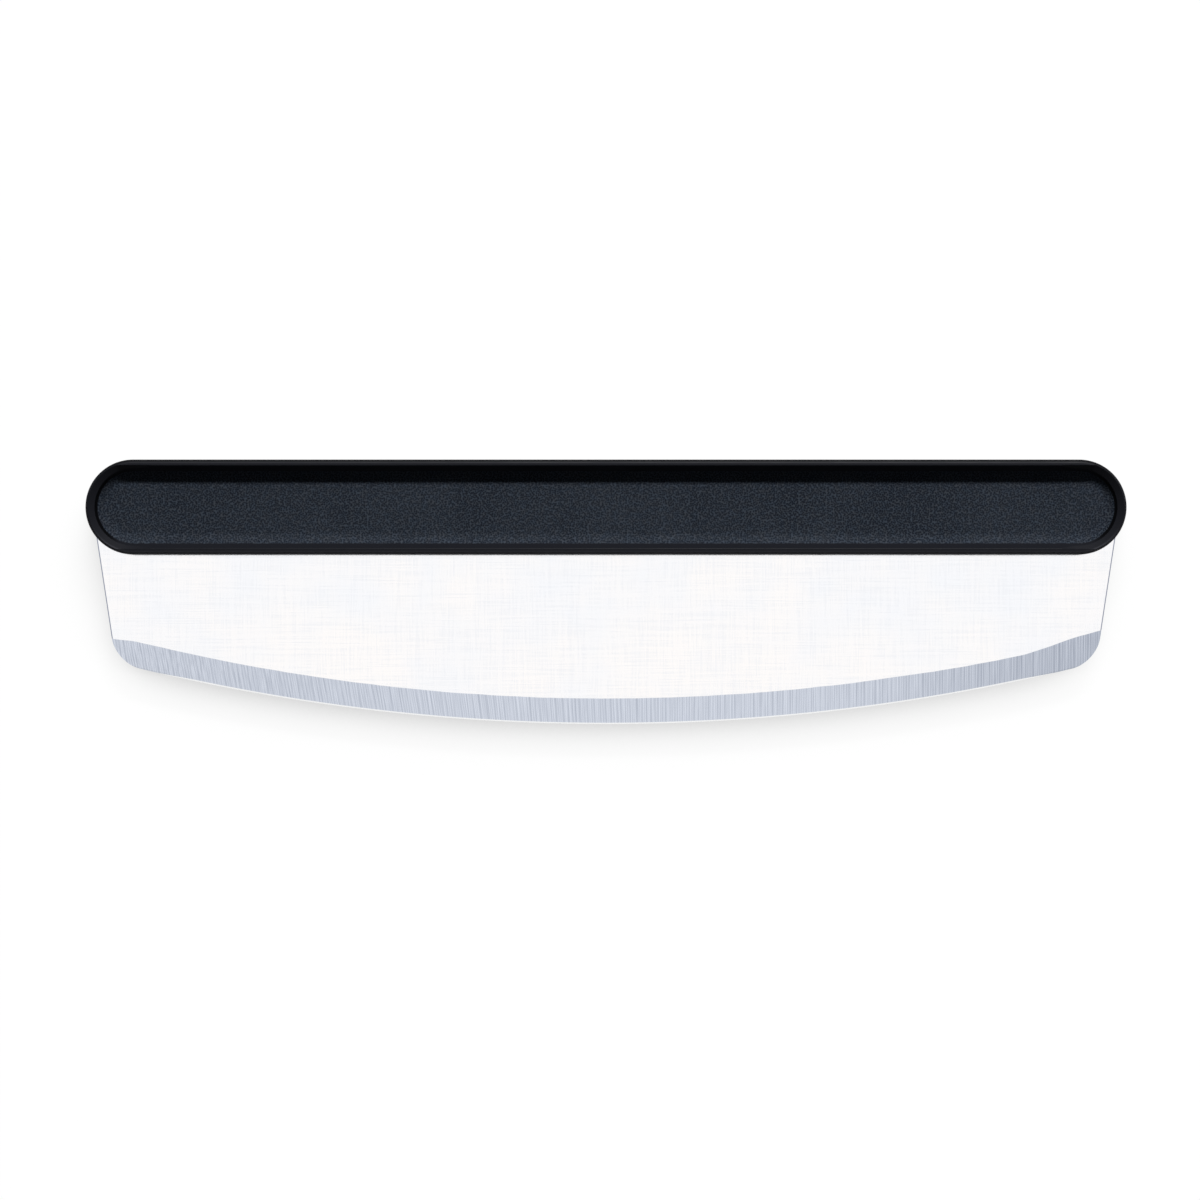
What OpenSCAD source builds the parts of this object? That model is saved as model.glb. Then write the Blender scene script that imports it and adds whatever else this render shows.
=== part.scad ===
// Rocking pizza knife: a wide stainless blade with a curved edge, held along its back
// by a handle of two moulded shells. It lies flat: X runs along the handle, +Y points
// from the cutting edge to the back of the handle, and +Z is out of the front face.

/* [Handle] */
// Overall length of the handle, over its round ends
handle_l = 355; // [250:1:450]
// Width of the handle, which sets its round ends too
handle_h = 32.4; // [28:0.2:40]
// Thickness of the handle over both rims
handle_t = 20; // [16:0.5:26]
// Radius of the rim's outer edge
rim_round = 1.6; // [0.8:0.1:2]
// Width of the flat crest that the handle rests on, along both straight sides
rim_crest = 0.5; // [0.4:0.1:1]
// Depth of the finger recess below the crest
recess_depth = 5.25; // [4:0.05:6]
// Lean of the recess wall, in degrees from square
wall_lean = 26; // [15:1:32]
// Radius of the hollow between the recess wall and the floor
floor_round = 5.1; // [4:0.1:6]
// Distance from the outside to where the floor is flat
floor_in = 7.65; // [7:0.05:9]
// Angle of the wide slope that runs into the recess at both round ends, in degrees
end_slope = 40; // [30:1:50]
// Distance from the outside to where that slope starts
end_slope_in = 0.75; // [0.7:0.05:1.5]
// Width of crest that the slope leaves where it fades out along the straight sides
end_crest = 0.3; // [0.1:0.05:0.35]
// How far the slope runs on along the straight sides
end_run = 5.2; // [3:0.1:5.6]
// Bevel on each shell along the parting line
seam_bevel = 0.25; // [0.1:0.05:0.6]

/* [Blade] */
// Depth of blade that shows below the handle, at mid-length
blade_h = 58.1; // [40:0.1:80]
// Thickness of the blade
blade_t = 1.5; // [1:0.1:2.5]
// Distance from the handle's end in to the blade's side, where the side leaves the handle
blade_inset = 2.3; // [1.8:0.1:8]
// Slant of the blade's sides, in degrees from square
side_slant = 8.65; // [2:0.05:15]
// Radius of the curved cutting edge
rocker_r = 683; // [450:1:1200]
// Radius of the two lower corners
corner_r = 12.5; // [5:0.5:20]
// Width of the ground bevel on each face
bevel_w = 8.8; // [4:0.1:14]
// Width of the sharpened strip along the cutting edge
hone_w = 0.45; // [0.2:0.05:1]
// Thickness of the blade where the sharpened strip begins
hone_t = 0.36; // [0.2:0.02:0.6]
// Thickness left at the cutting edge
edge_t = 0.08; // [0.04:0.02:0.16]

/* [Tang] */
// How far the blade's full width reaches up into the handle
blade_seat = 7.8; // [5:0.1:9]
// Plastic between the tang's top and the back of the handle
tang_cover = 8.2; // [6:0.1:10]
// Width of the shoulder at each end of the tang
shoulder_w = 15; // [10:0.5:30]
// Radius of the tang's corners
tang_corner = 4; // [1:0.5:5]
// Gap round the tang in its pocket
pocket_gap = 0.2; // [0.1:0.05:0.4]

/* [Pins] */
// Number of pins through the tang
pin_count = 5; // [3:1:9]
// Diameter of a pin
pin_d = 4; // [2:0.1:6]
// Distance from the tang's end to the first pin
pin_margin = 18; // [8:1:40]
// Plastic between a pin's socket and the floor of the recess
pin_cover = 1.3; // [0.8:0.1:2]
// Gap between a pin's end and the bottom of its socket
pin_end_gap = 0.2; // [0.1:0.05:0.4]
// Gap round a pin, on the radius
pin_gap = 0.03; // [0.02:0.01:0.08]
// Bevel on a pin's ends
pin_bevel = 0.4; // [0.2:0.1:0.8]

/* [Seam] */
// Distance from the outside of the handle to the tongue
tongue_in = 1.4; // [1:0.1:2]
// Width of the tongue that locates one shell in the other
tongue_w = 1.2; // [0.8:0.1:2]
// Height of the tongue
tongue_h = 1; // [0.5:0.1:2]
// Gap round the tongue in its groove
tongue_gap = 0.1; // [0.05:0.05:0.2]
// Distance along the seam from the blade's shoulder to the tongue's end
tongue_stop = 1.5; // [1:0.1:4]

/* [Hidden] */
$fn = 96;
rocker_fn = 1440;
over = 1;

handle_r = handle_h / 2;
half_t = handle_t / 2;
end_x = handle_l / 2 - handle_r;
total_h = handle_h + blade_h;
handle_y = total_h / 2 - handle_r;

crest_in = handle_r - rim_round - rim_crest;
floor_z = half_t - recess_depth;
foot_r = crest_in - recess_depth * tan(wall_lean);
flat_r = handle_r - floor_in;
slope_r = handle_r - end_slope_in;
slope_y = handle_r - rim_round - end_crest;
// The end slope meets the recess wall this far below the crest.
slope_drop = (slope_r - crest_in) / (1 / tan(end_slope) - tan(wall_lean));

// The blade is drawn about the middle of the handle's axis.
edge_y = -handle_r - blade_h;
rocker_y = edge_y + rocker_r;
shoulder_y = blade_seat - handle_r;
tang_y = handle_r - tang_cover;
// The handle's round end and the blade's side meet at this point.
exit_x = handle_l / 2 - blade_inset;
exit_y = -sqrt(pow(handle_r, 2) - pow(exit_x - end_x, 2));
function side_x(y) = exit_x + (y - exit_y) * tan(side_slant);
tang_x = side_x(shoulder_y) - shoulder_w;

// Middle of a corner's arc, which touches both the slanted side and the cutting edge.
side_out = [cos(side_slant), -sin(side_slant)];
side_down = [-sin(side_slant), -cos(side_slant)];
corner_off = exit_x * side_out[0] + (exit_y - rocker_y) * side_out[1] - corner_r;
corner_run = sqrt(pow(rocker_r - corner_r, 2) - pow(corner_off, 2));
corner_mid = [0, rocker_y] + corner_off * side_out + corner_run * side_down;
edge_out = (corner_mid - [0, rocker_y]) / (rocker_r - corner_r);
sweep_half = asin(exit_x / (rocker_y - tang_y)) + 2;

pin_pitch = 2 * (tang_x - pin_margin) / (pin_count - 1);
pin_depth = floor_z - pin_cover;
pin_l = 2 * (pin_depth - pin_end_gap);

// Puts what is drawn about the handle's axis, at mid-thickness, in its place.
module place() {
  translate([0, handle_y, half_t]) children();
}

// Sweeps a half section once round the handle, with its x as the distance from the axis.
module sweep_handle() {
  for (side = [-1, 1]) {
    translate([side * end_x, 0, 0])
      rotate([0, 0, -90 * side])
        rotate_extrude(angle = 180) children();
    mirror([0, (1 - side) / 2, 0])
      translate([-end_x, 0, 0])
        rotate([90, 0, 90])
          linear_extrude(2 * end_x) children();
  }
}

// What a square corner loses when it is rounded, with the arc's middle at the origin.
module corner_waste(r) {
  difference() {
    square(r + over);
    circle(r);
  }
}

// Half section of one shell: a thick floor and a raised rim with a rounded outer edge.
module shell_section() {
  difference() {
    square([handle_r, half_t]);
    translate([handle_r - rim_round, half_t - rim_round])
      corner_waste(rim_round);
    recess_section();
    polygon([
      [handle_r - seam_bevel, 0],
      [handle_r + over, -over],
      [handle_r + over, seam_bevel + over]
    ]);
  }
}

// Half section of the finger recess: leaning wall, hollow and flat floor.
module recess_section() {
  difference() {
    polygon([
      [-over, floor_z],
      [foot_r, floor_z],
      [crest_in + over * tan(wall_lean), half_t + over],
      [-over, half_t + over]
    ]);
    translate([flat_r, floor_z + floor_round])
      mirror([0, 1])
        difference() {
          square(floor_round);
          circle(floor_round);
        }
  }
}

// Wide slopes round both ends, which stop at the crest of the straight sides. Each one
// reaches a little below the line where it meets the wall.
module end_slopes() {
  run = slope_drop + over + 0.4;
  for (side = [0, 1])
    mirror([side, 0, 0])
      intersection() {
        translate([end_x, 0, half_t + over - run])
          cylinder(
            h = run,
            r1 = slope_r + (over - run) / tan(end_slope),
            r2 = slope_r + over / tan(end_slope)
          );
        translate([end_x - end_run, -slope_y, half_t - run])
          cube([end_run + 2 * handle_r, 2 * slope_y, run + 2 * over]);
      }
}

// Ring that the tongue and its groove share, cut short where the blade comes out.
module seam_ring(gap, height) {
  stop_y = shoulder_y + tongue_stop - gap;
  intersection() {
    sweep_handle()
      translate([handle_r - tongue_in - tongue_w - gap, 0])
        square([tongue_w + 2 * gap, height]);
    translate([-handle_l / 2, stop_y, -over])
      cube([handle_l, handle_r - stop_y + over, height + 2 * over]);
  }
}

// The tang that the shells hold, wider all round by gap.
module tang_outline(gap) {
  difference() {
    translate([-tang_x - gap, shoulder_y - over])
      square([2 * (tang_x + gap), tang_y - shoulder_y + over + gap]);
    for (side = [-1, 1])
      translate([side * (tang_x + gap - tang_corner), tang_y + gap - tang_corner])
        mirror([(1 - side) / 2, 0])
          corner_waste(tang_corner);
  }
}

// The slanted part from the shoulders to a level below the cutting edge, wider by gap.
module side_outline(gap) {
  low_y = edge_y - over;
  wide = gap / cos(side_slant);
  polygon([
    [-side_x(shoulder_y) - wide, shoulder_y + gap],
    [side_x(shoulder_y) + wide, shoulder_y + gap],
    [side_x(low_y) + wide, low_y],
    [-side_x(low_y) - wide, low_y]
  ]);
}

// What a lower corner of the blade loses: the wedge outside its arc.
module blade_corner_waste() {
  far = corner_r * 3;
  difference() {
    polygon([
      corner_mid,
      corner_mid + far * side_out,
      corner_mid + far * (side_out + edge_out),
      corner_mid + far * edge_out
    ]);
    translate(corner_mid) circle(corner_r);
  }
}

// Outline of the blade below its shoulders, with its curved edge and rounded corners.
module blade_outline() {
  difference() {
    intersection() {
      side_outline(0);
      translate([0, rocker_y]) circle(rocker_r, $fn = rocker_fn);
    }
    for (side = [0, 1])
      mirror([side, 0])
        blade_corner_waste();
  }
}

// Half section of the blade about the middle of its curved edge: flat, ground, sharpened.
module grind_section() {
  top_r = rocker_y - tang_y - over;
  bevel_r = rocker_r - bevel_w;
  hone_r = rocker_r - hone_w;
  polygon([
    [top_r, -blade_t / 2],
    [bevel_r, -blade_t / 2],
    [hone_r, -hone_t / 2],
    [rocker_r, -edge_t / 2],
    [rocker_r + over, -edge_t / 2],
    [rocker_r + over, edge_t / 2],
    [rocker_r, edge_t / 2],
    [hone_r, hone_t / 2],
    [bevel_r, blade_t / 2],
    [top_r, blade_t / 2]
  ]);
}

// Moves a copy to each pin's place along the tang.
module at_pins() {
  for (i = [0 : pin_count - 1])
    translate([i * pin_pitch - tang_x + pin_margin, 0, 0])
      children();
}

module blade() {
  color([0.86, 0.88, 0.90])
    place()
      difference() {
        intersection() {
          union() {
            linear_extrude(blade_t + 2 * over, center = true) blade_outline();
            linear_extrude(blade_t + 2 * over, center = true) tang_outline(0);
          }
          translate([0, rocker_y, 0])
            rotate([0, 0, -90 - sweep_half])
              rotate_extrude(angle = 2 * sweep_half, $fn = rocker_fn) grind_section();
        }
        at_pins()
          cylinder(h = blade_t + 2 * over, d = pin_d + 2 * pin_gap, center = true);
      }
}

// One shell above mid-thickness, with half the blade's pocket and the pins' sockets.
module half_handle() {
  difference() {
    sweep_handle() shell_section();
    end_slopes();
    translate([0, 0, -over])
      linear_extrude(blade_t / 2 + over) {
        tang_outline(pocket_gap);
        side_outline(pocket_gap);
      }
    at_pins()
      translate([0, 0, -over])
        cylinder(h = pin_depth + over, d = pin_d + 2 * pin_gap);
  }
}

module front_shell() {
  color([0.13, 0.15, 0.17])
    place()
      difference() {
        half_handle();
        translate([0, 0, -over])
          seam_ring(tongue_gap, tongue_h + tongue_gap + over);
      }
}

module rear_shell() {
  color([0.11, 0.12, 0.14])
    place() {
      mirror([0, 0, 1]) half_handle();
      seam_ring(0, tongue_h);
    }
}

// Blind pins, held in both shells, that carry the tang.
module tang_pins() {
  color([0.70, 0.71, 0.72])
    place()
      at_pins()
        rotate_extrude()
          polygon([
            [0, -pin_l / 2],
            [pin_d / 2 - pin_bevel, -pin_l / 2],
            [pin_d / 2, -pin_l / 2 + pin_bevel],
            [pin_d / 2, pin_l / 2 - pin_bevel],
            [pin_d / 2 - pin_bevel, pin_l / 2],
            [0, pin_l / 2]
          ]);
}

blade();
front_shell();
rear_shell();
tang_pins();
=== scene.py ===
import math

import bmesh
import bpy
from mathutils import Matrix, Vector


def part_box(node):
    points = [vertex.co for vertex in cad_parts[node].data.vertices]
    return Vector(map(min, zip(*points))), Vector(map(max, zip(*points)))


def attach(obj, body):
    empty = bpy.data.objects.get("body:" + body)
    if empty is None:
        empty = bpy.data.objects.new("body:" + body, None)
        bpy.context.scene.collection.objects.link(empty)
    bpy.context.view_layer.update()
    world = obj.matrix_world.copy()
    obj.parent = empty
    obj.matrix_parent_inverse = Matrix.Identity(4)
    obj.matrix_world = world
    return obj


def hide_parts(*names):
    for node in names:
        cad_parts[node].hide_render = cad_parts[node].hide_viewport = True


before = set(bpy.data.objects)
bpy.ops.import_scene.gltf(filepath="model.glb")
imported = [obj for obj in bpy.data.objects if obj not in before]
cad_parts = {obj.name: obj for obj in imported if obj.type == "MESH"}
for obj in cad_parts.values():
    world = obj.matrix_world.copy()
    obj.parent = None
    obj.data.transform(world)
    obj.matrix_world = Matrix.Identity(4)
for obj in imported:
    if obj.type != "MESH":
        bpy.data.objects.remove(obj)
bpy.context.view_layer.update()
scene = bpy.context.scene
mm = 0.001
mergeDist = 2e-6    # points closer than this are one
sameSpot = 1e-7
print("frame loaded:", ", ".join(sorted(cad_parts)))

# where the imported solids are, so that every piece below follows them
shellLow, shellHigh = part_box("front_shell")
bladeLow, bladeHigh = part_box("blade")
pinLow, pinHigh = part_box("tang_pins")
handleR = (shellHigh.y - shellLow.y) / 2
axisY = (shellHigh.y + shellLow.y) / 2
endX = shellHigh.x - handleR                # the middle of a round end
midZ = (bladeLow.z + bladeHigh.z) / 2       # the seam, and the plate's mid-plane
halfT = shellHigh.z - midZ
halfPlate = (bladeHigh.z - bladeLow.z) / 2
pinR = (pinHigh.y - pinLow.y) / 2


# small helpers for meshes

def meshObject(name, bm):
    mesh = bpy.data.meshes.new(name)
    bm.to_mesh(mesh)
    bm.free()
    obj = bpy.data.objects.new(name, mesh)
    scene.collection.objects.link(obj)
    return obj


def only(kind, items):
    return [item for item in items if isinstance(item, kind)]


def mergeClose(bm):
    bmesh.ops.remove_doubles(bm, verts=bm.verts, dist=mergeDist)
    bmesh.ops.dissolve_degenerate(bm, edges=bm.edges, dist=mergeDist)


def combine(obj, cutter, how):
    # one boolean, baked into the mesh straight away
    step = obj.modifiers.new("step", "BOOLEAN")
    step.operation = how
    step.solver = "EXACT"
    step.object = cutter
    bpy.context.view_layer.update()
    shaped = obj.evaluated_get(bpy.context.evaluated_depsgraph_get())
    baked = bpy.data.meshes.new_from_object(shaped)
    obj.modifiers.clear()
    old = obj.data
    obj.data = baked
    baked.name = obj.name
    bpy.data.meshes.remove(old)
    bpy.data.objects.remove(cutter)
    bm = bmesh.new()
    bm.from_mesh(baked)
    mergeClose(bm)
    bm.to_mesh(baked)
    bm.free()


def block(low, high):
    bm = bmesh.new()
    bmesh.ops.create_cube(bm, size=1)
    bmesh.ops.scale(bm, vec=Vector(high) - Vector(low), verts=bm.verts)
    bmesh.ops.translate(bm, vec=(Vector(high) + Vector(low)) / 2, verts=bm.verts)
    return bm


def prism(points, low, high):
    # a flat outline pushed up from one level to another
    bm = bmesh.new()
    face = bm.faces.new([bm.verts.new((x, y, low)) for x, y in points])
    grown = bmesh.ops.extrude_face_region(bm, geom=[face])["geom"]
    bmesh.ops.translate(bm, vec=(0, 0, high - low), verts=only(bmesh.types.BMVert, grown))
    bmesh.ops.recalc_face_normals(bm, faces=bm.faces)
    return bm


def roundOff(bm, geom, radius, steps, what="EDGES"):
    bmesh.ops.bevel(bm, geom=geom, offset=radius, offset_type="OFFSET", segments=steps, profile=0.5,
                    affect=what, material=-1, clamp_overlap=True)


def roundUprights(bm, chosen, radius, steps):
    uprights = [e for e in bm.edges if abs(e.verts[0].co.z - e.verts[1].co.z) > mergeDist]
    roundOff(bm, [e for e in uprights if chosen(e.verts[0].co)], radius, steps)


# node helpers

def setInputs(tree, node, values):
    # a socket is linked, and a plain value is set on the socket itself
    for key, value in values.items():
        if isinstance(value, bpy.types.NodeSocket):
            tree.links.new(value, node.inputs[key])
        else:
            node.inputs[key].default_value = value


def addNode(tree, kind, values=None, **settings):
    node = tree.nodes.new(kind)
    for key, value in settings.items():
        setattr(node, key, value)
    setInputs(tree, node, values or {})
    return node


def mathNode(tree, how, a, b=0.0, c=0.0, clamp=False):
    node = addNode(tree, "ShaderNodeMath", {0: a, 1: b, 2: c}, operation=how)
    node.use_clamp = clamp
    return node.outputs[0]


def plus(tree, a, b):
    return mathNode(tree, "ADD", a, b)


def minus(tree, a, b):
    return mathNode(tree, "SUBTRACT", a, b)


def times(tree, a, b):
    return mathNode(tree, "MULTIPLY", a, b)


def distance(tree, a, b):
    return mathNode(tree, "SQRT", plus(tree, times(tree, a, a), times(tree, b, b)))


def ramp(tree, value, low, high, toLow=0.0, toHigh=1.0, soft=True):
    values = {"Value": value, "From Min": low, "From Max": high, "To Min": toLow, "To Max": toHigh}
    return addNode(tree, "ShaderNodeMapRange", values,
                   interpolation_type="SMOOTHSTEP" if soft else "LINEAR").outputs["Result"]


def noise(tree, place, scale, detail=2.0, roughness=0.5):
    return addNode(tree, "ShaderNodeTexNoise", {"Vector": place, "Scale": scale, "Detail": detail,
                                                "Roughness": roughness}).outputs["Fac"]


def blendColour(tree, amount, a, b):
    # sockets 0, 6 and 7 are the factor and the two colours, and output 2 is the colour
    return addNode(tree, "ShaderNodeMix", {0: amount, 6: a, 7: b}, data_type="RGBA").outputs[2]


def blendHeights(tree, amount, a, b):
    return plus(tree, times(tree, a, minus(tree, 1.0, amount)), times(tree, b, amount))


def newGroup(name, inputs, outputs):
    tree = bpy.data.node_groups.new(name, "ShaderNodeTree")
    for label, value in inputs.items():
        tree.interface.new_socket(
            name=label, in_out="INPUT", socket_type="NodeSocketFloat").default_value = value
    for label in outputs:
        tree.interface.new_socket(name=label, in_out="OUTPUT", socket_type="NodeSocketFloat")
    start = tree.nodes.new("NodeGroupInput")
    end = tree.nodes.new("NodeGroupOutput")
    return tree, start.outputs, end


def useGroup(tree, group, **values):
    return addNode(tree, "ShaderNodeGroup", values, node_tree=group).outputs


def newMaterial(name):
    material = bpy.data.materials.new(name)
    material.use_nodes = True
    return material, material.node_tree, material.node_tree.nodes["Principled BSDF"]


def objectXyz(tree):
    here = addNode(tree, "ShaderNodeTexCoord").outputs["Object"]
    return here, addNode(tree, "ShaderNodeSeparateXYZ", {0: here}).outputs


# moulded grain, the spark finish that fades in where the recess starts

grainShape = {
    "bumpScale": 1.7, "bumpDetail": 3.0, "bumpRough": 0.62, "bumpWeight": 0.75,
    "pitScale": 0.68, "lip": (0.12, 0.78), "lipWeight": 0.84, "pitWeight": 0.16,
    "hueScale": 0.2, "hueRough": 0.6, "hue": (0.36, 0.64),
}


def makeMouldGrain():
    g = grainShape
    tree, given, out = newGroup("mouldGrain", {"Pitch": 0.7 * mm, "Fine": 0.35, "Mask": 1.0},
                                ["Height", "Fleck", "Hue"])
    here, _ = objectXyz(tree)
    per = mathNode(tree, "DIVIDE", 1.0, given["Pitch"])
    coarse = noise(tree, here, per, g["bumpDetail"], g["bumpRough"])
    cells = addNode(tree, "ShaderNodeTexVoronoi",
                    {"Vector": here, "Scale": times(tree, per, g["bumpScale"])},
                    feature="SMOOTH_F1")
    bumps = plus(tree, times(tree, coarse, g["bumpWeight"]),
                 times(tree, cells.outputs["Distance"], given["Fine"]))
    # each pit is dark in its middle, some are deeper than others, and the hue drifts in patches
    pits = addNode(tree, "ShaderNodeTexVoronoi",
                   {"Vector": here, "Scale": times(tree, per, g["pitScale"])},
                   feature="F1", voronoi_dimensions="2D")
    pit = addNode(tree, "ShaderNodeSeparateColor", {0: pits.outputs["Color"]}).outputs["Red"]
    lip = ramp(tree, pits.outputs["Distance"], *g["lip"], soft=False)
    patches = noise(tree, here, times(tree, per, g["hueScale"]), roughness=g["hueRough"])
    setInputs(tree, out, {
        "Height": times(tree, bumps, given["Mask"]),
        "Fleck": plus(tree, times(tree, lip, g["lipWeight"]), times(tree, pit, g["pitWeight"])),
        "Hue": ramp(tree, patches, *g["hue"]),
    })
    return tree


# slow change over a surface, for sheen and tone

driftSpan = (0.3, 0.7)    # the part of the noise that is stretched from Low to High


def makeSlowDrift():
    tree, given, out = newGroup("slowDrift", {"Pitch": 30 * mm, "Low": 0.0, "High": 1.0}, ["Value"])
    here, _ = objectXyz(tree)
    drift = noise(tree, here, mathNode(tree, "DIVIDE", 1.0, given["Pitch"]))
    value = ramp(tree, drift, *driftSpan, given["Low"], given["High"], soft=False)
    setInputs(tree, out, {"Value": value})
    return tree


# fine straight scratches, turned by an angle in the face's plane

brushShape = {"throughZ": 40.0, "detail": 3.0, "rough": 0.6}    # throughZ is per metre of thickness


def makeBrushLines():
    tree, given, out = newGroup("brushLines", {"Width": 0.4 * mm, "Length": 20 * mm, "Turn": 0.0},
                                ["Lines"])
    here, _ = objectXyz(tree)
    turned = addNode(tree, "ShaderNodeVectorRotate", {"Vector": here, "Angle": given["Turn"]},
                     rotation_type="Z_AXIS")
    stretch = addNode(tree, "ShaderNodeCombineXYZ", {
        "X": mathNode(tree, "DIVIDE", 1.0, given["Length"]),
        "Y": mathNode(tree, "DIVIDE", 1.0, given["Width"]), "Z": brushShape["throughZ"]})
    place = addNode(tree, "ShaderNodeVectorMath", {0: turned.outputs[0], 1: stretch.outputs[0]},
                    operation="MULTIPLY").outputs[0]
    lines = noise(tree, place, 1.0, brushShape["detail"], brushShape["rough"])
    setInputs(tree, out, {"Lines": lines})
    return tree


mouldGrain = makeMouldGrain()
slowDrift = makeSlowDrift()
brushLines = makeBrushLines()
print("shared finishes made")


# the handle's two mouldings: a half section carried once round the stadium

handleSizes = {
    # rim and recess
    "rimRound": 1.6 * mm, "crest": 0.5 * mm, "softEdge": 0.2 * mm, "recessDepth": 5.25 * mm,
    "wallLean": math.radians(26), "hollow": 2.99 * mm, "seamBevel": 0.25 * mm,
    # the slopes round both ends, and how far their cones reach above, below and beyond the rim
    "endSlope": math.radians(40), "endSlopeIn": 0.75 * mm, "endCrest": 0.3 * mm,
    "slopeRise": 1 * mm, "slopeSink": 2.3 * mm, "slopeReach": 20 * mm,
    # the blade's seat, the tang and its overlap into the plate, the pins, and the room round them
    "bladeSeat": 7.8 * mm, "tangCover": 8.2 * mm, "shoulder": 15 * mm, "tangCorner": 4 * mm,
    "tangRoot": 1 * mm, "pocketGap": 0.2 * mm, "pocketBelow": 5 * mm,
    "pinGap": 0.03 * mm, "pinEndGap": 0.2 * mm, "pinsApart": 10 * mm,
    # the rear moulding's tongue and the front one's groove
    "tongueIn": 1.4 * mm, "tongueWide": 1.2 * mm, "tongueHigh": 1.0 * mm, "tongueRoot": 0.5 * mm,
    "tongueGap": 0.1 * mm, "tongueStop": 1.5 * mm,
    # how finely rounds are cut, and the angle from which an edge shades sharp
    "endSteps": 72, "roundSteps": 12, "softSteps": 4, "tangSteps": 12, "drillSteps": 48,
    "sharp": math.radians(20),
}

bladeSizes = {
    "inset": 2.3 * mm, "slant": math.radians(8.65), "rockerR": 683 * mm, "cornerR": 12.5 * mm,
    "bevel": 8.8 * mm, "hone": 0.45 * mm, "honeThick": 0.36 * mm, "edgeThick": 0.08 * mm,
    # how finely it is cut, and the tilt from which a face shades flat
    "sweepSteps": 320, "sweepPast": math.radians(1), "cornerSteps": 24, "flatFrom": 0.9,
}

cutRoom = 2 * mm                                        # how far cutters reach past the plate
seatY = axisY - handleR + handleSizes["bladeSeat"]      # the shoulders, inside the handle
rockerY = bladeLow.y + bladeSizes["rockerR"]            # the centre of the cutting edge's arc


def sweepRound(bm, edges):
    # the section stands at x = endX; two half turns and two straight runs bring it home
    for side in (1, -1):
        verts = list(dict.fromkeys(v for e in edges for v in e.verts))
        turned = bmesh.ops.spin(bm, geom=verts + edges, cent=(side * endX, axisY, 0),
                                axis=(0, 0, 1), dvec=(0, 0, 0), angle=-math.pi,
                                steps=handleSizes["endSteps"], use_merge=False,
                                use_normal_flip=False, use_duplicate=False)["geom_last"]
        run = bmesh.ops.extrude_edge_only(bm, edges=only(bmesh.types.BMEdge, turned))["geom"]
        bmesh.ops.translate(bm, vec=(-2 * side * endX, 0, 0), verts=only(bmesh.types.BMVert, run))
        edges = [e for e in only(bmesh.types.BMEdge, run)
                 if all(abs(v.co.x + side * endX) < sameSpot for v in e.verts)]
    mergeClose(bm)
    bmesh.ops.recalc_face_normals(bm, faces=bm.faces)


def sectionWire(bm, points, closed=False):
    # each point is how far out from the handle's axis and how far up from the seam it lies
    verts = [bm.verts.new((endX, axisY + out, midZ + up)) for out, up in points]
    for a, b in zip(verts, verts[1:] + (verts[:1] if closed else [])):
        bm.edges.new((a, b))
    return verts


def buildShellSkin(name):
    s = handleSizes
    crestIn = handleR - s["rimRound"] - s["crest"]
    floorUp = halfT - s["recessDepth"]
    footR = crestIn - s["recessDepth"] * math.tan(s["wallLean"])
    bm = bmesh.new()
    verts = sectionWire(bm, [
        (0, floorUp), (footR, floorUp), (crestIn, halfT), (handleR, halfT),
        (handleR, s["seamBevel"]), (handleR - s["seamBevel"], 0), (0, 0)])
    roundOff(bm, [verts[1]], s["hollow"], s["roundSteps"], "VERTICES")
    roundOff(bm, [verts[3]], s["rimRound"], s["roundSteps"], "VERTICES")
    roundOff(bm, [verts[2]], s["softEdge"], s["softSteps"], "VERTICES")
    sweepRound(bm, list(bm.edges))
    return meshObject(name, bm)


def endSlope(side):
    # the wide slope round one end, which stops at the crest of the straight sides
    s = handleSizes
    rise, sink, beyond = s["slopeRise"], s["slopeSink"], s["slopeReach"]
    topR = handleR - s["endSlopeIn"]
    flare = 1 / math.tan(s["endSlope"])
    halfStep = math.pi / s["endSteps"] / 2
    bm = bmesh.new()
    bmesh.ops.create_cone(bm, cap_ends=True, segments=2 * s["endSteps"], depth=rise + sink,
                          radius1=topR - sink * flare, radius2=topR + rise * flare)
    bmesh.ops.rotate(bm, verts=bm.verts, cent=(0, 0, 0), matrix=Matrix.Rotation(halfStep, 3, "Z"))
    bmesh.ops.translate(bm, vec=(side * endX, axisY, midZ + halfT + (rise - sink) / 2),
                        verts=bm.verts)
    slope = meshObject("slope", bm)
    reach = handleR - s["rimRound"] - s["endCrest"]
    keep = block((side * endX - beyond, axisY - reach, midZ),
                 (side * endX + beyond, axisY + reach, midZ + beyond))
    combine(slope, meshObject("keep", keep), "INTERSECT")
    return slope


def seamRing(gap, high, low):
    # the tongue, or the room for it, cut short where the blade comes out
    s = handleSizes
    outer = handleR - s["tongueIn"] + gap
    inner = outer - s["tongueWide"] - 2 * gap
    bm = bmesh.new()
    sectionWire(bm, [(inner, low), (outer, low), (outer, high), (inner, high)], closed=True)
    sweepRound(bm, list(bm.edges))
    bmesh.ops.bisect_plane(bm, geom=list(bm.verts) + list(bm.edges) + list(bm.faces),
                           dist=sameSpot, plane_co=(0, seatY + s["tongueStop"] - gap, 0),
                           plane_no=(0, -1, 0), clear_outer=True)
    bmesh.ops.holes_fill(bm, edges=[e for e in bm.edges if e.is_boundary], sides=8)
    bmesh.ops.recalc_face_normals(bm, faces=bm.faces)
    return meshObject("ring", bm)


# the blade's outline, shared by the plate and its pocket

def sideX(y):
    # the slanted side, which leaves the handle a little inside its round end
    exitX = endX + handleR - bladeSizes["inset"]
    exitY = axisY - math.sqrt(handleR ** 2 - (exitX - endX) ** 2)
    return exitX + (y - exitY) * math.tan(bladeSizes["slant"])


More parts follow.
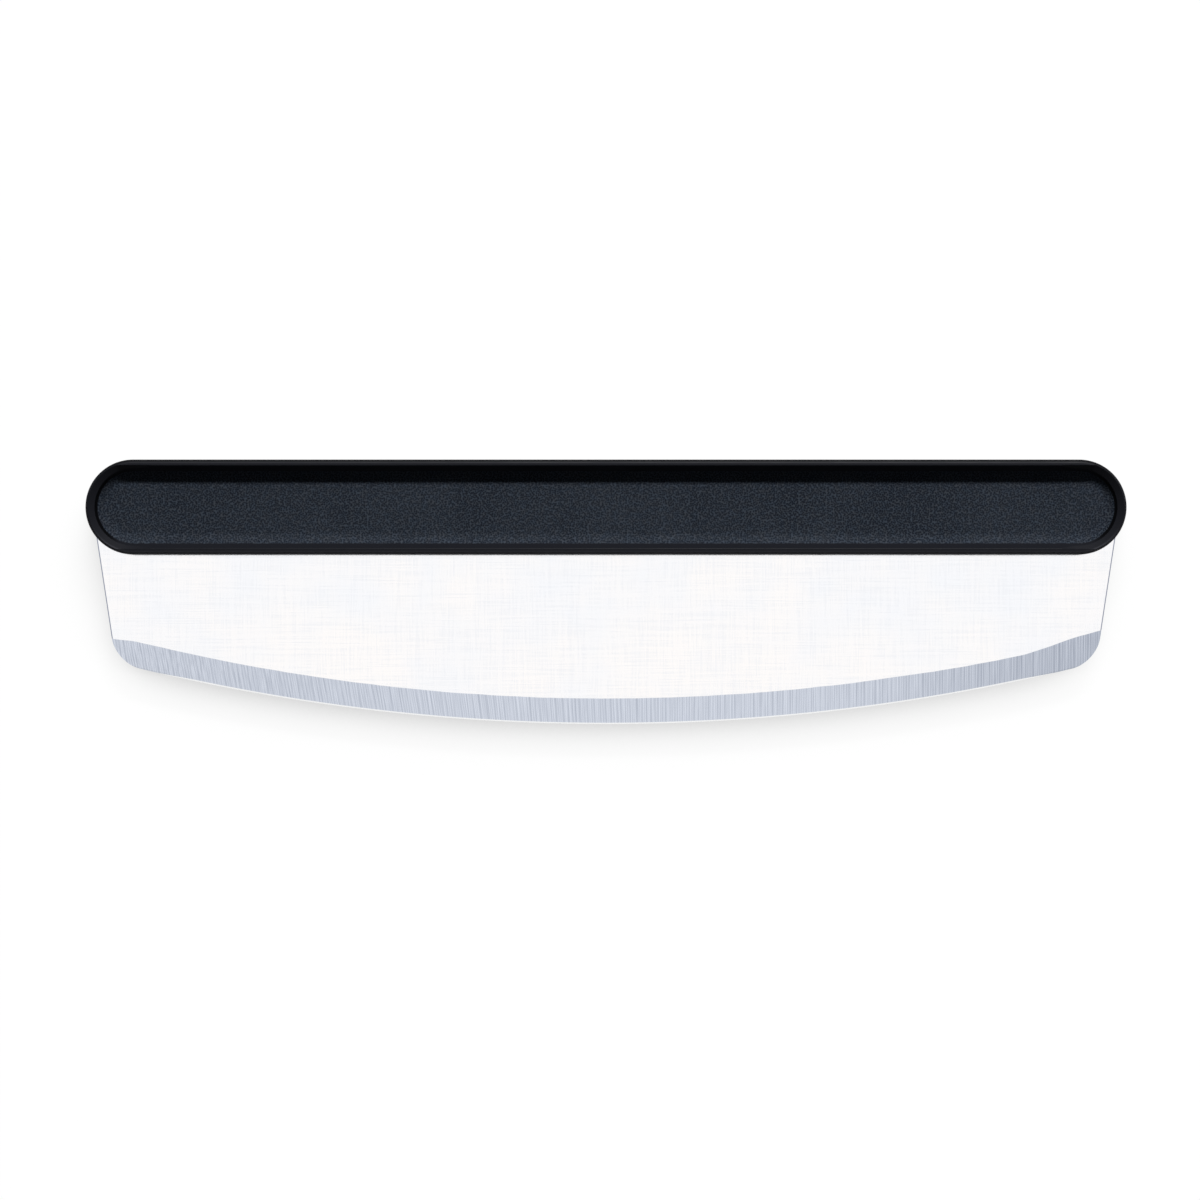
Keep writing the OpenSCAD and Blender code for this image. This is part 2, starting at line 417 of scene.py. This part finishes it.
def tangBlock(gap, low, high):
    s = handleSizes
    tangX = sideX(seatY) - s["shoulder"] + gap
    topY = axisY + handleR - s["tangCover"] + gap
    bm = block((-tangX, seatY - s["tangRoot"], low), (tangX, topY, high))
    roundUprights(bm, lambda co: co.y > seatY, s["tangCorner"], s["tangSteps"])
    return meshObject("tangBlock", bm)


def sideBlock(gap, low, high, lowY):
    wide = gap / math.cos(bladeSizes["slant"])
    points = [(-sideX(seatY) - wide, seatY + gap), (sideX(seatY) + wide, seatY + gap),
              (sideX(lowY) + wide, lowY), (-sideX(lowY) - wide, lowY)]
    return meshObject("sideBlock", prism(points, low, high))


def pinPlaces():
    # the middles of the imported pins, found from the gaps between their points along X
    bm = bmesh.new()
    bm.from_mesh(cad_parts["tang_pins"].data)
    xs = sorted(v.co.x for v in bm.verts)
    bm.free()
    groups = [[xs[0]]]
    for x in xs[1:]:
        if x - groups[-1][-1] > handleSizes["pinsApart"]:
            groups.append([])
        groups[-1].append(x)
    return [(g[0] + g[-1]) / 2 for g in groups]


pinXs = pinPlaces()


def pinDrill(x, low, high):
    radius = pinR + handleSizes["pinGap"]
    bm = bmesh.new()
    bmesh.ops.create_cone(bm, cap_ends=True, segments=handleSizes["drillSteps"], radius1=radius,
                          radius2=radius, depth=high - low)
    bmesh.ops.translate(bm, vec=(x, (pinLow.y + pinHigh.y) / 2, (low + high) / 2), verts=bm.verts)
    return meshObject("drill", bm)


def buildShell(name, front):
    s = handleSizes
    shell = buildShellSkin(name)
    for side in (1, -1):
        combine(shell, endSlope(side), "DIFFERENCE")
    low, high = midZ - cutRoom, midZ + halfPlate
    combine(shell, tangBlock(s["pocketGap"], low, high), "DIFFERENCE")
    below = axisY - handleR - s["pocketBelow"]
    combine(shell, sideBlock(s["pocketGap"], low, high, below), "DIFFERENCE")
    for x in pinXs:
        combine(shell, pinDrill(x, low, pinHigh.z + s["pinEndGap"]), "DIFFERENCE")
    if front:
        groove = seamRing(s["tongueGap"], s["tongueHigh"] + s["tongueGap"], -cutRoom)
        combine(shell, groove, "DIFFERENCE")
        return shell
    # the rear one is mirrored in the seam before it gets its tongue
    shell.data.transform(Matrix.Translation((0, 0, 2 * midZ)) @ Matrix.Diagonal((1, 1, -1, 1)))
    shell.data.flip_normals()
    combine(shell, seamRing(0, s["tongueHigh"], -s["tongueRoot"]), "UNION")
    return shell


frontMoulding = buildShell("frontMoulding", True)
rearMoulding = buildShell("rearMoulding", False)
for moulding in (frontMoulding, rearMoulding):
    for face in moulding.data.polygons:
        face.use_smooth = True
    moulding.data.set_sharp_from_angle(angle=handleSizes["sharp"])
    print("moulding:", moulding.name, len(moulding.data.polygons), "faces")


# the blade: a section spun about the centre of the curved edge, trimmed to its outline

def bladeCorner():
    # a corner's arc touches the slanted side and the cutting edge, whose tangents cross outside it
    b = bladeSizes
    centre = Vector((0, rockerY))
    out = Vector((math.cos(b["slant"]), -math.sin(b["slant"])))
    down = Vector((-math.sin(b["slant"]), -math.cos(b["slant"])))
    off = (Vector((sideX(axisY), axisY)) - centre).dot(out) - b["cornerR"]
    along = math.sqrt((b["rockerR"] - b["cornerR"]) ** 2 - off ** 2)
    middle = centre + off * out + along * down
    edgeOut = (middle - centre).normalized()
    turn = math.acos(out.dot(edgeOut))
    tangent = b["cornerR"] * math.tan(turn / 2)
    corner = middle + b["cornerR"] * out + tangent * down
    edgeWay = Vector((edgeOut.y, -edgeOut.x))
    foot = corner - edgeWay * (corner.x / edgeWay.x)
    return corner, foot, tangent


def bladeTrim(low, high):
    corner, foot, tangent = bladeCorner()
    outline = [(-sideX(seatY), seatY), (-corner.x, corner.y), (foot.x, foot.y),
               (corner.x, corner.y), (sideX(seatY), seatY)]
    bm = prism(outline, low, high)
    near = 1 * mm
    roundUprights(bm, lambda co: abs(co.x) > abs(corner.x) - near and abs(co.y - corner.y) < near,
                  tangent, bladeSizes["cornerSteps"])
    trim = meshObject("trim", bm)
    combine(trim, tangBlock(0, low, high), "UNION")
    return trim


def buildBlade(name):
    b = bladeSizes
    topR = rockerY - bladeHigh.y - cutRoom
    section = [(topR, halfPlate), (b["rockerR"] - b["bevel"], halfPlate),
               (b["rockerR"] - b["hone"], b["honeThick"] / 2), (b["rockerR"], b["edgeThick"] / 2)]
    section += [(r, -up) for r, up in reversed(section)]
    half = math.asin(sideX(axisY) / topR) + b["sweepPast"]
    bm = bmesh.new()
    face = bm.faces.new([bm.verts.new((0, rockerY - r, midZ + up)) for r, up in section])
    bmesh.ops.rotate(bm, verts=bm.verts, cent=(0, rockerY, 0),
                     matrix=Matrix.Rotation(-half, 3, "Z"))
    bmesh.ops.spin(bm, geom=[face] + list(face.edges) + list(face.verts), cent=(0, rockerY, 0),
                   axis=(0, 0, 1), dvec=(0, 0, 0), angle=2 * half, steps=b["sweepSteps"],
                   use_merge=False, use_normal_flip=False, use_duplicate=False)
    bmesh.ops.remove_doubles(bm, verts=bm.verts, dist=mergeDist)
    bmesh.ops.recalc_face_normals(bm, faces=bm.faces)
    blade = meshObject(name, bm)
    low, high = midZ - cutRoom, midZ + cutRoom
    combine(blade, bladeTrim(low, high), "INTERSECT")
    for x in pinXs:
        combine(blade, pinDrill(x, low, high), "DIFFERENCE")
    for face in blade.data.polygons:
        face.use_smooth = abs(face.normal.z) < b["flatFrom"]
    return blade


steelBlade = buildBlade("steelBlade")
print("blade:", len(steelBlade.data.polygons), "faces")


# handle nylon; a pair here is a ramp from 0 to 1, and a row of four is one with its own values

nylonLook = {
    # the rim, its outer edge on the blade's side (lighter, painted reflected light) and on the back
    # (darker, painted shade), and the round ends' walls (darker, painted shade)
    "rim": (0.0086, 0.0091, 0.0120, 1), "rimBounceLit": (0.046, 0.047, 0.056, 1),
    "rimBackShade": (0.0030, 0.0032, 0.0042, 1), "endWallShade": (0.0016, 0.0017, 0.0022, 1),
    "bounceLightIn": (1.6 * mm, 0.5 * mm), "bladeSide": (-5 * mm, -15 * mm),
    "backShadeIn": (1.1 * mm, 0.5 * mm), "backSide": (5 * mm, 15 * mm),
    "endRun": (4 * mm, 9 * mm), "wallIn": (2.9 * mm, 3.1 * mm),
    # the recess floor: the pits' middles, and the two hues of their lips
    "recess": (0.0022, 0.0040, 0.0085, 1), "fleck": (0.0335, 0.0432, 0.0585, 1),
    "warm": (0.0358, 0.0418, 0.0518, 1), "fleckGain": 1.28, "fleckOff": -0.15,
    "grainStart": 3.85 * mm, "grainFade": 0.08 * mm, "grainPitch": 0.42 * mm, "grainFine": 0.3,
    "grainDepth": 0.032 * mm, "patchPitch": 22 * mm, "patchTone": 0.14,
    # gloss
    "sheenPitch": 14 * mm, "roughLow": 0.42, "roughHigh": 0.52, "recessRough": 0.28,
    "fineScale": 2600.0, "fineWeight": 0.06, "specular": 0.06,
}


def makeNylon():
    look = nylonLook
    material, tree, shader = newMaterial("handleNylon")
    here, xyz = objectXyz(tree)
    runX = mathNode(tree, "MAXIMUM", minus(tree, mathNode(tree, "ABSOLUTE", xyz["X"]), endX), 0.0)
    offY = minus(tree, xyz["Y"], axisY)
    inset = minus(tree, handleR, distance(tree, runX, offY))
    start, fade = look["grainStart"], look["grainFade"]
    recess = ramp(tree, inset, start - fade, start + fade)
    grain = useGroup(tree, mouldGrain, Pitch=look["grainPitch"], Fine=look["grainFine"],
                     Mask=recess)
    drift = useGroup(tree, slowDrift, Pitch=look["patchPitch"], Low=0.0, High=look["patchTone"])
    lip = blendColour(tree, grain["Hue"], look["fleck"], look["warm"])
    fleck = mathNode(tree, "MULTIPLY_ADD", grain["Fleck"], look["fleckGain"], look["fleckOff"])
    floorTone = blendColour(tree, plus(tree, fleck, drift["Value"]), look["recess"], lip)

    # painted light: the rim's outer edge is lighter on the blade's side, a painted reflection of
    # the bright blade below, and darker on the back, painted shade
    paintedBounceLight = times(tree, ramp(tree, inset, *look["bounceLightIn"]),
                      ramp(tree, offY, *look["bladeSide"]))
    rimTone = blendColour(tree, paintedBounceLight, look["rim"], look["rimBounceLit"])
    # painted shade along the outer edge on the back
    paintedBackShade = times(tree, ramp(tree, inset, *look["backShadeIn"]),
                     ramp(tree, offY, *look["backSide"]))
    rimTone = blendColour(tree, paintedBackShade, rimTone, look["rimBackShade"])
    # painted shade: the steep wall at the round ends is darkened
    paintedEndShade = times(tree, ramp(tree, runX, *look["endRun"]), ramp(tree, inset, *look["wallIn"]))
    rimTone = blendColour(tree, paintedEndShade, rimTone, look["endWallShade"])

    sheen = useGroup(tree, slowDrift, Pitch=look["sheenPitch"], Low=look["roughLow"],
                     High=look["roughHigh"])["Value"]
    fine = noise(tree, here, look["fineScale"])
    height = plus(tree, grain["Height"], times(tree, fine, look["fineWeight"]))
    bump = addNode(tree, "ShaderNodeBump", {"Height": height, "Strength": 1.0,
                                            "Distance": look["grainDepth"]})
    setInputs(tree, shader, {
        "Base Color": blendColour(tree, recess, rimTone, floorTone),
        "Roughness": plus(tree, sheen, times(tree, recess, look["recessRough"])),
        "Normal": bump.outputs["Normal"],
        "Specular IOR Level": look["specular"],
    })
    return material


handleNylon = makeNylon()
print("nylon made")


# blade steel: brushed plate, ground bevel, honed strip

steelLook = {
    # the plate, its clouds and its brush marks
    "plate": (0.936, 0.950, 0.984, 1), "cloud": (1.0, 0.976, 0.966, 1),
    "cloudPitch": 19 * mm, "cloudLow": 0.08, "cloudHigh": 0.92,
    "warmIn": (42 * mm, 12 * mm), "warmX": (150 * mm, 90 * mm, 0.0, 0.3),
    "line": (0.84, 0.86, 0.90, 1), "brushWide": 0.40 * mm, "brushLong": 18 * mm,
    "crossLong": 12 * mm, "weaveTone": (0.53, 0.40, 0.0, 0.46),
    # the grind's upper line: how far it leaves the ground facet along X, and how it wavers
    "grindNarrow": (90 * mm, 132 * mm, 0.0, -0.4 * mm),
    "grindFlare": (142 * mm, 165 * mm, 0.0, 1.9 * mm),
    "grindLeft": (-172 * mm, -160 * mm, -1.2 * mm, 0.0),
    "wobble": 0.08 * mm, "wobblePitch": 9 * mm, "grindFade": 0.1 * mm,
    # the honed strip, which fades out toward both ends and has its full width inward of them
    "honed": (0.97, 0.975, 0.98, 1), "honeX": (160 * mm, 140 * mm, -0.1 * mm),
    "honeFade": 0.05 * mm,
    # the grind's tone: strokes and lines, and a darkening toward both ends
    "ground": (0.70, 0.74, 0.827, 1), "stroke": (0.33, 0.363, 0.437, 1),
    "lean": (-90 * mm, 40 * mm, math.tan(math.radians(10)), 0.0), "leanAbout": -36 * mm,
    "strokeLong": (-150 * mm, -20 * mm, 5 * mm, 18 * mm), "strokeWide": 0.29 * mm,
    "strokeRough": 0.6, "lineApart": 0.82 * mm, "lineRandom": 0.7,
    "lineTone": (0.02, 0.5, 0.0, 0.55), "strokeTone": (0.36, 0.64, 0.0, 0.48),
    "strokeWeight": 0.62,
    "darkRight": (70 * mm, 170 * mm, 0.0, 0.36), "darkLeft": (-40 * mm, -120 * mm, 0.0, 0.06),
    # painted shade: the cut sides are darkened by the way they face, and a thin dark line runs
    # beside them
    "side": (0.10, 0.12, 0.17, 1), "sideShadeTurn": (0.6, 0.4),
    "edgeShadeLine": (0.26, 0.285, 0.36, 1), "edgeShadeIn": (0.42 * mm, 0.24 * mm),
    # gloss
    "weaveRough": (0.35, 0.65, 0.08, 0.14), "groundRough": 0.16,
    "weaveHeight": 0.25, "bumpStrength": 0.5, "bumpDepth": 0.012 * mm,
}


def grindMask(tree, x, inFrom):
    # the grind narrows and then runs wide toward the right end, and narrows at the left one
    look = steelLook
    flareRight = plus(tree, ramp(tree, x, *look["grindNarrow"]), ramp(tree, x, *look["grindFlare"]))
    flareLeft = ramp(tree, x, *look["grindLeft"])
    wobble = useGroup(tree, slowDrift, Pitch=look["wobblePitch"], Low=-look["wobble"],
                      High=look["wobble"])["Value"]
    limit = plus(tree, plus(tree, bladeSizes["bevel"], wobble), plus(tree, flareRight, flareLeft))
    return ramp(tree, minus(tree, limit, inFrom), -look["grindFade"], look["grindFade"])


def strokeMarks(tree, x, y, inFrom):
    # strokes lean from upper left to lower right; rightward they stand up and cross the whole grind
    look = steelLook
    lean = ramp(tree, x, *look["lean"])
    across = plus(tree, x, times(tree, lean, minus(tree, y, look["leanAbout"])))
    place = addNode(tree, "ShaderNodeCombineXYZ", {
        "X": times(tree, across, 1 / look["strokeWide"]),
        "Y": mathNode(tree, "DIVIDE", inFrom, ramp(tree, x, *look["strokeLong"])), "Z": 0.0})
    strokes = noise(tree, place.outputs[0], 1.0, roughness=look["strokeRough"])
    lines = addNode(tree, "ShaderNodeTexVoronoi", {
        "W": times(tree, across, 1 / look["lineApart"]), "Scale": 1.0,
        "Randomness": look["lineRandom"]}, feature="F1", voronoi_dimensions="1D")
    tone = plus(tree, ramp(tree, lines.outputs["Distance"], *look["lineTone"], soft=False),
                ramp(tree, strokes, *look["strokeTone"]))
    return strokes, tone


def plateWeave(tree):
    look = steelLook
    along = useGroup(tree, brushLines, Width=look["brushWide"], Length=look["brushLong"], Turn=0.0)
    cross = useGroup(tree, brushLines, Width=look["brushWide"], Length=look["crossLong"],
                     Turn=math.pi / 2)
    return plus(tree, times(tree, along["Lines"], 0.5), times(tree, cross["Lines"], 0.5))


def makeBladeSteel():
    look = steelLook
    material, tree, shader = newMaterial("bladeSteel")
    _, xyz = objectXyz(tree)
    x, y = xyz["X"], xyz["Y"]
    sideways = mathNode(tree, "ABSOLUTE", x)
    radius = distance(tree, x, minus(tree, rockerY, y))
    inFrom = minus(tree, bladeSizes["rockerR"], radius)    # how far in from the cutting edge
    ground = grindMask(tree, x, inFrom)
    honeWide = ramp(tree, sideways, *look["honeX"], bladeSizes["hone"])
    honed = ramp(tree, minus(tree, honeWide, inFrom), -look["honeFade"], look["honeFade"])

    weave = plateWeave(tree)
    cloud = useGroup(tree, slowDrift, Pitch=look["cloudPitch"], Low=look["cloudLow"],
                     High=look["cloudHigh"])["Value"]
    warmer = times(tree, ramp(tree, inFrom, *look["warmIn"]), ramp(tree, sideways, *look["warmX"]))
    plateTone = blendColour(tree, plus(tree, cloud, warmer), look["plate"], look["cloud"])
    plateTone = blendColour(tree, ramp(tree, weave, *look["weaveTone"]), plateTone, look["line"])

    strokes, strokeTone = strokeMarks(tree, x, y, inFrom)
    darker = plus(tree, ramp(tree, x, *look["darkRight"]), ramp(tree, x, *look["darkLeft"]))
    marks = mathNode(tree, "ADD", times(tree, strokeTone, look["strokeWeight"]), darker, clamp=True)
    groundTone = blendColour(tree, marks, look["ground"], look["stroke"])
    tone = blendColour(tree, ground, plateTone, groundTone)
    tone = blendColour(tree, honed, tone, look["honed"])

    # painted shade: a thin dark line just inside the plate's slanted sides, then the upright sides
    # themselves darkened
    sideAt = mathNode(tree, "MULTIPLY_ADD", y, math.tan(bladeSizes["slant"]), sideX(0))
    paintedEdgeShade = ramp(tree, minus(tree, sideAt, sideways), *look["edgeShadeIn"])
    tone = blendColour(tree, times(tree, paintedEdgeShade, minus(tree, 1.0, ground)), tone, look["edgeShadeLine"])
    facing = addNode(tree, "ShaderNodeNewGeometry").outputs["True Normal"]
    turned = addNode(tree, "ShaderNodeSeparateXYZ", {0: facing}).outputs["Z"]
    upright = mathNode(tree, "ABSOLUTE", turned)
    tone = blendColour(tree, ramp(tree, upright, *look["sideShadeTurn"]), tone, look["side"])

    height = blendHeights(tree, ground, times(tree, weave, look["weaveHeight"]), strokes)
    bump = addNode(tree, "ShaderNodeBump", {"Height": height, "Strength": look["bumpStrength"],
                                            "Distance": look["bumpDepth"]})
    setInputs(tree, shader, {
        "Base Color": tone,
        "Roughness": plus(tree, ramp(tree, weave, *look["weaveRough"]),
                          times(tree, ground, look["groundRough"])),
        "Normal": bump.outputs["Normal"],
        "Metallic": 1.0,
    })
    return material


bladeSteel = makeBladeSteel()


# plain turned steel for the pins

pinLook = {
    "dark": (0.62, 0.63, 0.64, 1), "light": (0.74, 0.75, 0.76, 1), "ringWide": 0.12 * mm,
    "ringLong": 3 * mm, "ringTone": (0.35, 0.65), "ringRough": (0.3, 0.7, 0.28, 0.42),
}


def makePinSteel():
    look = pinLook
    material, tree, shader = newMaterial("pinSteel")
    rings = useGroup(tree, brushLines, Width=look["ringWide"], Length=look["ringLong"], Turn=0.0)
    amount = ramp(tree, rings["Lines"], *look["ringTone"])
    setInputs(tree, shader, {
        "Base Color": blendColour(tree, amount, look["dark"], look["light"]),
        "Roughness": ramp(tree, rings["Lines"], *look["ringRough"]),
        "Metallic": 1.0,
    })
    return material


pinSteel = makePinSteel()
print("steels made")


def dress(obj, material, node):
    obj.data.materials.clear()
    obj.data.materials.append(material)
    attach(obj, "root")
    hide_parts(node)


dress(frontMoulding, handleNylon, "front_shell")
dress(rearMoulding, handleNylon, "rear_shell")
dress(steelBlade, bladeSteel, "blade")
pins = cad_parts["tang_pins"]
pins.data.materials.clear()
pins.data.materials.append(pinSteel)


# floor, lamp, world and camera

studio = {
    # the floor's colour for light, its share and glow for the camera, and the object's soft shade
    "floor": 0.80, "floorShare": 0.022, "floorGlow": 0.99, "floorSize": 8.0, "floorRough": 0.9,
    "shade": 1.65, "shadePower": 2.8, "shadeReach": 42 * mm, "shadeLean": (0.22, 0.9, 0.5),
    "shadeSamples": 24,
    # one soft strip lamp beyond the handle's back
    "strip": 62.0, "stripWide": 0.8, "stripHigh": 0.20, "stripFar": 2.1, "stripX": 0.25,
    "stripUp": math.radians(41.2), "stripAim": (0.125, 0.02, 0),
    # the room: what gloss mirrors low and high, and what is left for the rest
    "mirror": 1.0, "mirrorLow": 0.5, "mirrorRise": (0.45, 0.85), "ambient": 0.032,
    # the photograph's frame is this wide at the level just under the handle's crest
    "lens": 100, "sensor": 36, "frameWide": 409.0 * mm, "frameDown": 1 * mm,
    "cameraX": -2.05 * mm, "cameraY": -31.7 * mm, "clip": (0.05, 20),
}


def makeFloor():
    bm = bmesh.new()
    bmesh.ops.create_grid(bm, x_segments=1, y_segments=1, size=studio["floorSize"] / 2)
    floor = meshObject("floor", bm)
    material, tree, shader = newMaterial("paleFloor")
    camera = addNode(tree, "ShaderNodeLightPath").outputs["Is Camera Ray"]
    lit = ramp(tree, camera, 0.0, 1.0, studio["floor"], studio["floorShare"], soft=False)
    grey = addNode(tree, "ShaderNodeCombineColor", {0: lit, 1: lit, 2: lit}).outputs[0]
    # the camera sees the floor white, with the object's soft shade on the side away from the lamp
    lean = addNode(tree, "ShaderNodeCombineXYZ", dict(zip("XYZ", studio["shadeLean"])))
    clear = addNode(tree, "ShaderNodeAmbientOcclusion", {
        "Distance": studio["shadeReach"], "Normal": lean.outputs[0]},
        samples=studio["shadeSamples"]).outputs["AO"]
    hidden = mathNode(tree, "POWER", minus(tree, 1.0, clear), studio["shadePower"])
    full = studio["floorGlow"]
    glow = mathNode(tree, "MULTIPLY_ADD", hidden, -full * studio["shade"], full)
    setInputs(tree, shader, {
        "Base Color": grey,
        "Roughness": studio["floorRough"],
        "Specular IOR Level": 0.0,
        "Emission Color": (1, 1, 1, 1),
        "Emission Strength": times(tree, camera, mathNode(tree, "MAXIMUM", glow, 0.0)),
    })
    floor.data.materials.append(material)


def makeStrip():
    lamp = bpy.data.lights.new("softStrip", "AREA")
    lamp.shape = "RECTANGLE"
    lamp.size = studio["stripWide"]
    lamp.size_y = studio["stripHigh"]
    lamp.energy = studio["strip"]
    obj = bpy.data.objects.new("softStrip", lamp)
    scene.collection.objects.link(obj)
    up, far = studio["stripUp"], studio["stripFar"]
    place = Vector((studio["stripX"], far * math.cos(up), far * math.sin(up)))
    obj.location = place
    obj.rotation_euler = (Vector(studio["stripAim"]) - place).to_track_quat("-Z", "Y").to_euler()


def makeWorld():
    world = bpy.data.worlds.new("studioWorld")
    scene.world = world
    world.use_nodes = True
    tree = world.node_tree
    path = addNode(tree, "ShaderNodeLightPath").outputs
    direct = mathNode(tree, "MAXIMUM", path["Is Camera Ray"], path["Is Transmission Ray"])
    sky = addNode(tree, "ShaderNodeTexCoord").outputs["Generated"]
    up = addNode(tree, "ShaderNodeSeparateXYZ", {0: sky}).outputs["Z"]
    mirror = ramp(tree, up, *studio["mirrorRise"], studio["mirrorLow"], studio["mirror"])
    strength = plus(tree, direct, times(tree, path["Is Glossy Ray"], mirror))
    seen = mathNode(tree, "MAXIMUM", direct, path["Is Glossy Ray"])
    rest = mathNode(tree, "SUBTRACT", 1.0, seen, clamp=True)
    strength = plus(tree, strength, times(tree, rest, studio["ambient"]))
    setInputs(tree, tree.nodes["Background"], {"Color": (1, 1, 1, 1), "Strength": strength})


def makeCamera():
    # straight down, like the photograph
    data = bpy.data.cameras.new("camera")
    data.lens = studio["lens"]
    data.sensor_width = studio["sensor"]
    data.clip_start, data.clip_end = studio["clip"]
    camera = bpy.data.objects.new("camera", data)
    scene.collection.objects.link(camera)
    level = shellHigh.z - studio["frameDown"]
    camera.location = (studio["cameraX"], axisY + studio["cameraY"],
                       level + studio["frameWide"] * data.lens / data.sensor_width)
    scene.camera = camera


makeFloor()
makeStrip()
makeWorld()
makeCamera()
scene.view_settings.view_transform = "Standard"
print("studio ready")

print("pieces dressed")
